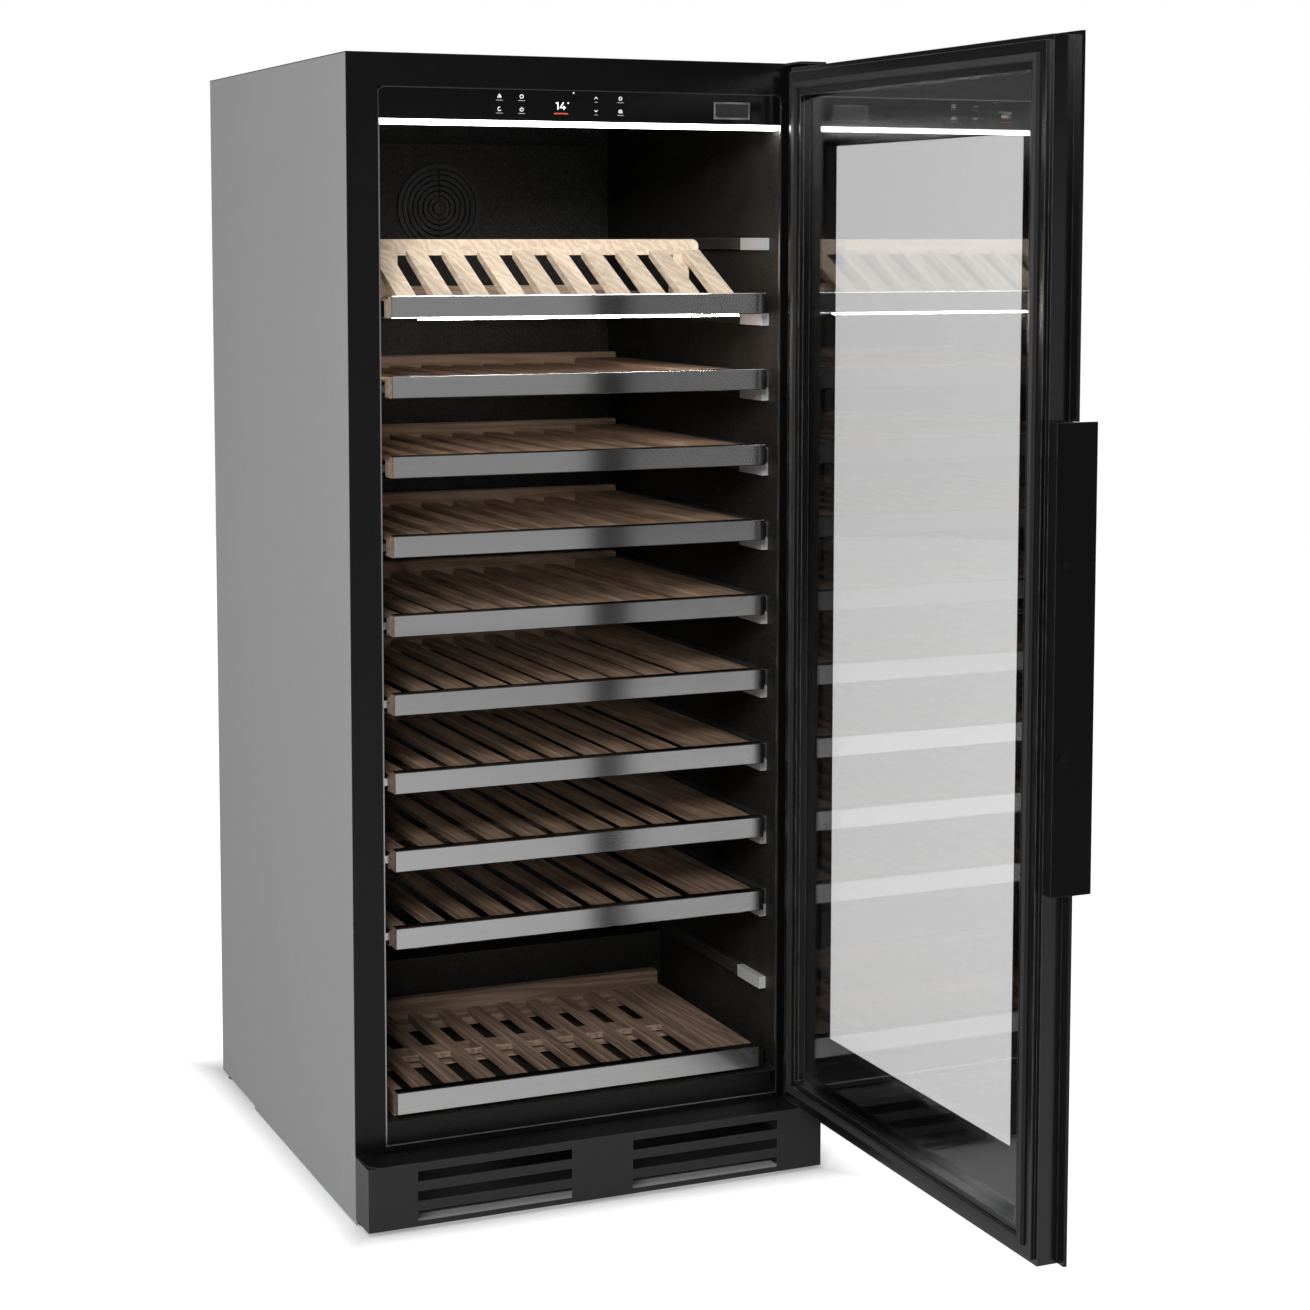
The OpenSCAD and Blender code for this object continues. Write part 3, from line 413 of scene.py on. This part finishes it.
class Solid:
    """Collects flat lines with thickness, so that one piece can be made of several."""

    def __init__(self):
        self.verts = []
        self.faces = []

    def ribbon(self, points, width, back, front, closed=False):
        """A flat line of one width along the points, with mitred corners."""
        pts = [Vector((x, 0.0, z)) for x, z in points]
        n = len(pts)
        sides = []
        for i, here in enumerate(pts):
            before = pts[i - 1] if closed or i else None
            after = pts[(i + 1) % n] if closed or i < n - 1 else None
            a = (here - before).normalized() if before else (after - here).normalized()
            b = (after - here).normalized() if after else a
            way = (a + b).normalized()
            side = Vector((-way.z, 0.0, way.x)) * (width / 2 / max(0.4, way.dot(a)))
            sides.append((here + side, here - side))
        start = len(self.verts)
        for left, right in sides:
            self.verts += [(left.x, front, left.z), (right.x, front, right.z),
                           (right.x, back, right.z), (left.x, back, left.z)]
        for i in range(n if closed else n - 1):
            p = start + 4 * i
            q = start + 4 * ((i + 1) % n)
            for j in range(4):
                self.faces.append((p + j, p + (j + 1) % 4, q + (j + 1) % 4, q + j))
        if not closed:
            self.faces.append((start + 3, start + 2, start + 1, start))
            end = start + 4 * (n - 1)
            self.faces.append((end, end + 1, end + 2, end + 3))


def arc(x, z, r, start, end, steps):
    return [(x + r * math.cos(math.radians(start + (end - start) * i / steps)),
             z + r * math.sin(math.radians(start + (end - start) * i / steps))) for i in range(steps + 1)]


# Bright edge of the opening: a thin metal line round the cavity and over the control panel.
EDGE = 1.5 * mm
EDGE_OUT = 0.3 * mm
MATERIALS["edge_metal"] = brushed("edge_metal", (0.5, 0.5, 0.505), 2, 0.3, edge_highlight=0.3)


def opening_edge():
    s = Solid()
    half = OPEN_HALF - EDGE / 2
    floor = liner_lo[2] + 2 * mm + EDGE / 2
    top = bar_hi[2]
    corners = [(-half, top), (-half, floor), (half, floor), (half, top)]
    s.ribbon(corners, EDGE, FRONT + 3 * mm, FRONT - EDGE_OUT)
    piece("opening_edge", s.verts, s.faces, "edge_metal")


MATERIALS["edge_dim"] = brushed("edge_dim", (0.16, 0.16, 0.165), 0, 0.35, edge_highlight=0.3)


def panel_edge():
    """Dimmer line that follows the control panel's round upper corners."""
    s = Solid()
    r = 8 * mm
    left, right, top = panel_lo[0] + 0.5 * mm, panel_hi[0] - 0.5 * mm, panel_hi[2] - 0.5 * mm
    points = [(left, panel_lo[2])]
    points += arc(left + r, top - r, r, 180, 90, 10)
    points += arc(right - r, top - r, r, 90, 0, 10)
    points += [(right, panel_lo[2])]
    s.ribbon(points, 0.9 * mm, PANEL_FACE + 0.5 * mm, PANEL_FACE - 0.25 * mm)
    piece("panel_edge", s.verts, s.faces, "edge_dim")


# Touch panel: line icons, arrows and a temperature, drawn as thin raised print.
MATERIALS["print_white"] = glowing("print_white", (0.9, 0.92, 0.95), 0.8)
MATERIALS["print_grey"] = glowing("print_grey", (0.3, 0.31, 0.32), 0.35)
MATERIALS["print_red"] = glowing("print_red", (0.6, 0.1, 0.04), 0.22)
PRINT_BACK = PANEL_FACE + 0.2 * mm
PRINT_FRONT = PANEL_FACE - 0.15 * mm
LINE = 0.6 * mm
ICON_R = 2.1 * mm
ROW_Z = (1339.7 * mm, 1324.6 * mm)
COLUMN_X = (-109.4 * mm, -81.5 * mm, 45.1 * mm)
ARROW_X = 13.5 * mm
LABEL_DROP = 4.8 * mm


def ring_icon(s, x, z, steps=20):
    outline = arc(x, z, ICON_R, 0, 360 - 360 / steps, steps - 1)
    s.ribbon(outline, LINE, PRINT_BACK, PRINT_FRONT, closed=True)


def line(s, *points):
    s.ribbon(list(points), LINE, PRINT_BACK, PRINT_FRONT)


def icons():
    s = Solid()
    r = ICON_R
    for dx, dz in ((0, 1.3), (-1.3, -0.9), (1.3, -0.9)):
        s.ribbon(arc(COLUMN_X[0] + dx * mm, ROW_Z[0] + dz * mm, 0.95 * mm, 0, 330, 11), 0.45 * mm,
                 PRINT_BACK, PRINT_FRONT, closed=True)
    ring_icon(s, COLUMN_X[1], ROW_Z[0])
    s.ribbon(arc(COLUMN_X[0], ROW_Z[1], r, 100, 330, 14), LINE, PRINT_BACK, PRINT_FRONT)
    line(s, (COLUMN_X[0] - 0.9 * mm, ROW_Z[1] + r + 0.5 * mm),
         (COLUMN_X[0] + 0.9 * mm, ROW_Z[1] + r - 0.3 * mm))
    s.ribbon(arc(COLUMN_X[1], ROW_Z[1], r, 130, 410, 16), LINE, PRINT_BACK, PRINT_FRONT)
    line(s, (COLUMN_X[1], ROW_Z[1] + r + 0.6 * mm), (COLUMN_X[1], ROW_Z[1] + 0.2 * mm))
    ring_icon(s, COLUMN_X[2], ROW_Z[0], 6)
    low = ROW_Z[1] - 0.8 * r
    line(s, (COLUMN_X[2] - r, low), (COLUMN_X[2] + r, low), (COLUMN_X[2] + r, ROW_Z[1] + 0.2 * r),
         (COLUMN_X[2] - r, ROW_Z[1] + 0.2 * r), (COLUMN_X[2] - r, low))
    s.ribbon(arc(COLUMN_X[2], ROW_Z[1] + 0.2 * r, 0.65 * r, 0, 180, 8), LINE, PRINT_BACK, PRINT_FRONT)
    for z, way in ((ROW_Z[0], 1), (ROW_Z[1], -1)):
        line(s, (ARROW_X - 2.2 * mm, z - way * 1.1 * mm), (ARROW_X, z + way * 1.1 * mm),
             (ARROW_X + 2.2 * mm, z - way * 1.1 * mm))
    piece("panel_icons", s.verts, s.faces, "print_white")


def icon_lines():
    """A plain dash under each icon, where a printed word would be."""
    s = Solid()
    for z in ROW_Z:
        for x in (*COLUMN_X, ARROW_X):
            half = 2.0 * mm if x == ARROW_X else 4.2 * mm
            dash = [(x - half, z - LABEL_DROP), (x + half, z - LABEL_DROP)]
            s.ribbon(dash, 0.8 * mm, PRINT_BACK, PRINT_FRONT)
    piece("panel_dashes", s.verts, s.faces, "print_grey")


def display():
    """Temperature digits, a degree ring, a pilot dot and the glow line under them."""
    s = Solid()
    x, low, tall, bold = -31.6 * mm, 1325.0 * mm, 9.0 * mm, 1.3 * mm
    top = low + tall
    s.ribbon([(x - 6.6 * mm, top - 1.2 * mm), (x - 3.9 * mm, top - bold / 2), (x - 3.9 * mm, low)], bold,
             PRINT_BACK, PRINT_FRONT)
    s.ribbon([(x + 3.3 * mm, top), (x - 0.9 * mm, low + 2.6 * mm), (x + 6.2 * mm, low + 2.6 * mm)], bold,
             PRINT_BACK, PRINT_FRONT)
    stem = [(x + 3.7 * mm, low + 4.8 * mm), (x + 3.7 * mm, low)]
    s.ribbon(stem, bold, PRINT_BACK, PRINT_FRONT - 0.05 * mm)
    degree = arc(x + 9.2 * mm, top - 0.9 * mm, 0.8 * mm, 0, 324, 9)
    s.ribbon(degree, 0.5 * mm, PRINT_BACK, PRINT_FRONT, closed=True)
    s.ribbon([(x + 15.5 * mm, 1345.2 * mm), (x + 16.9 * mm, 1345.2 * mm)], 1.3 * mm, PRINT_BACK, PRINT_FRONT)
    piece("panel_digits", s.verts, s.faces, "print_white")
    glow = Solid()
    glow.ribbon([(x - 9 * mm, 1320.4 * mm), (x - 5 * mm, 1320.6 * mm), (x + 5 * mm, 1320.6 * mm),
                 (x + 9 * mm, 1320.4 * mm)], 1.5 * mm, PRINT_BACK, PRINT_FRONT)
    piece("panel_glow", glow.verts, glow.faces, "print_red")


# Copper pipes in the compressor bay, seen from behind.
MATERIALS["copper"] = brushed("copper", (0.55, 0.26, 0.14), 2, 0.35, edge_highlight=0.3)


def tube(name, points, radius, material, steps=6, sides=10):
    """Round tube along a smooth curve through the points."""
    pts = [Vector(p) for p in points]
    path = []
    for i in range(len(pts) - 1):
        a, b = pts[max(0, i - 1)], pts[i]
        c, d = pts[i + 1], pts[min(len(pts) - 1, i + 2)]
        for k in range(steps):
            t = k / steps
            path.append(0.5 * (2 * b + (c - a) * t + (2 * a - 5 * b + 4 * c - d) * t * t
                               + (3 * b - a - 3 * c + d) * t ** 3))
    path.append(pts[-1])
    verts, faces = [], []
    side = Vector((0.31, 0.47, 0.83))
    for i, p in enumerate(path):
        way = (path[min(i + 1, len(path) - 1)] - path[max(i - 1, 0)]).normalized()
        side = (side - way * side.dot(way)).normalized()
        other = way.cross(side)
        for k in range(sides):
            a = 2 * math.pi * k / sides
            verts.append(p + (side * math.cos(a) + other * math.sin(a)) * radius)
    for i in range(len(path) - 1):
        for k in range(sides):
            j = (k + 1) % sides
            faces.append((i * sides + k, i * sides + j, (i + 1) * sides + j, (i + 1) * sides + k))
    faces.append(tuple(reversed(range(sides))))
    faces.append(tuple(range((len(path) - 1) * sides, len(path) * sides)))
    return piece(name, verts, faces, material, smooth=True)


def pipes():
    top = compressor_hi[2]
    x0, y0 = compressor_hi[0] - 20 * mm, (compressor_lo[1] + compressor_hi[1]) / 2
    x1, y1 = condenser_lo[0] + 4 * mm, condenser_hi[1] - 14 * mm
    discharge = [
        (x0 - 30 * mm, y0, top - 14 * mm),
        (x0 - 20 * mm, y0 + 10 * mm, top + 18 * mm),
        (x0 + 20 * mm, y0 + 10 * mm, top + 20 * mm),
        (x0 + 45 * mm, y0 - 10 * mm, top + 4 * mm),
        (x1 - 16 * mm, y1, 156 * mm),
        (x1, y1, 148 * mm),
    ]
    suction = [
        (x0 - 55 * mm, y0 - 12 * mm, top - 8 * mm),
        (x0 - 55 * mm, y0 - 20 * mm, top + 16 * mm),
        (x0 - 60 * mm, y0 + 30 * mm, top + 26 * mm),
        (x0 - 70 * mm, y0 + 60 * mm, top + 10 * mm),
        (x0 - 76 * mm, y0 + 66 * mm, 90 * mm),
        (x0 - 110 * mm, y0 + 70 * mm, 60 * mm),
    ]
    tube("discharge_pipe", discharge, 3 * mm, "copper")
    tube("suction_pipe", suction, 4 * mm, "copper")


opening_edge()
panel_edge()
icons()
icon_lines()
display()
pipes()

# ---------------------------------------------------------------- floor, light and camera


# Strength of the floor's own white: seen by the camera, and seen by bounced light.
FLOOR_WHITE = 1.05
FLOOR_GLOSS = 0.12
FLOOR_RADIUS = 7.0
FLOOR_SIDES = 96


def floor():
    turns = [2 * math.pi * k / FLOOR_SIDES for k in range(FLOOR_SIDES)]
    rim = [(FLOOR_RADIUS * math.cos(turn), FLOOR_RADIUS * math.sin(turn), 0.0) for turn in turns]
    mesh = bpy.data.meshes.new("floor")
    mesh.from_pydata(rim, [], [tuple(range(FLOOR_SIDES))])
    obj = bpy.data.objects.new("floor", mesh)
    bpy.context.scene.collection.objects.link(obj)
    s = Shader("floor_white")
    base = s.mix(s.noise(0.6, 3.0), (0.48, 0.48, 0.48), (0.5, 0.5, 0.5))
    white = s.mix(s.noise(0.6, 3.0), (0.98, 0.98, 0.98), (1.0, 1.0, 1.0))
    # Painted shadow: the floor's glow fades out over the cabinet's footprint, so the floor under and beside
    # the cabinet is darker.
    outside = s.math("MAXIMUM", s.span(s.math("ABSOLUTE", s.axis(0)), 0.27, 0.36, 0.0, 1.0),
                     s.span(s.math("ABSOLUTE", s.axis(1)), 0.31, 0.42, 0.0, 1.0))
    level = s.span(s.bounces(), 0.0, 1.0, FLOOR_WHITE, FLOOR_GLOSS)
    mesh.materials.append(s.set(Base_Color=base, Roughness=0.9, Specular_IOR_Level=0.1,
                                Emission_Color=white, Emission_Strength=s.math("MULTIPLY", level, outside)))


def lamp(name, place, target, size, power, colour=(1.0, 1.0, 1.0)):
    data = bpy.data.lights.new(name, "AREA")
    data.shape = "RECTANGLE"
    data.size, data.size_y = size
    data.energy = power
    data.color = colour
    obj = bpy.data.objects.new(name, data)
    obj.location = place
    obj.rotation_mode = "QUATERNION"
    obj.rotation_quaternion = (Vector(target) - Vector(place)).to_track_quat("-Z", "Y")
    bpy.context.scene.collection.objects.link(obj)


# How bright the white room is for bounced light; the camera sees it at full white.
ROOM_LIGHT = 0.05


def studio():
    world = bpy.data.worlds.new("studio")
    world.use_nodes = True
    tree = world.node_tree
    background = tree.nodes["Background"]
    path = tree.nodes.new("ShaderNodeLightPath")
    bounces = tree.nodes.new("ShaderNodeMath")
    bounces.operation = "ADD"
    tree.links.new(path.outputs["Diffuse Depth"], bounces.inputs[0])
    tree.links.new(path.outputs["Glossy Depth"], bounces.inputs[1])
    level = tree.nodes.new("ShaderNodeMapRange")
    tree.links.new(bounces.outputs[0], level.inputs[0])
    level.inputs[3].default_value = 1.0
    level.inputs[4].default_value = ROOM_LIGHT
    tree.links.new(level.outputs[0], background.inputs["Strength"])
    background.inputs["Color"].default_value = (1.0, 1.0, 1.0, 1.0)
    scene = bpy.context.scene
    scene.world = world
    scene.view_settings.view_transform = "Standard"
    lamp("key", (-1.8, -3.4, 2.3), (0.0, -0.1, 0.75), (1.2, 1.2), 150.0)
    lamp("left_soft", (-3.2, 0.2, 1.2), (-0.3, 0.0, 0.7), (2.4, 2.2), 56.0)
    lamp("front_card", (1.9, -4.6, 0.7), (0.0, -0.3, 0.7), (2.6, 1.4), 2.9)


def camera():
    """Low-shift version of the photograph's level view: a small downward tilt takes up the rest."""
    data = bpy.data.cameras.new("camera")
    data.sensor_width = 36.0
    data.lens = 72.35
    data.shift_x = 0.0291
    data.shift_y = -0.14
    data.clip_end = 60.0
    obj = bpy.data.objects.new("camera", data)
    obj.location = (-1.2009, -3.2357, 1.1718)
    azimuth, tilt = math.radians(22.995), math.radians(5.039)
    way = Vector((math.sin(azimuth) * math.cos(tilt), math.cos(azimuth) * math.cos(tilt), -math.sin(tilt)))
    obj.rotation_mode = "QUATERNION"
    obj.rotation_quaternion = way.to_track_quat("-Z", "Y")
    bpy.context.scene.collection.objects.link(obj)
    bpy.context.scene.camera = obj


floor()
studio()
camera()
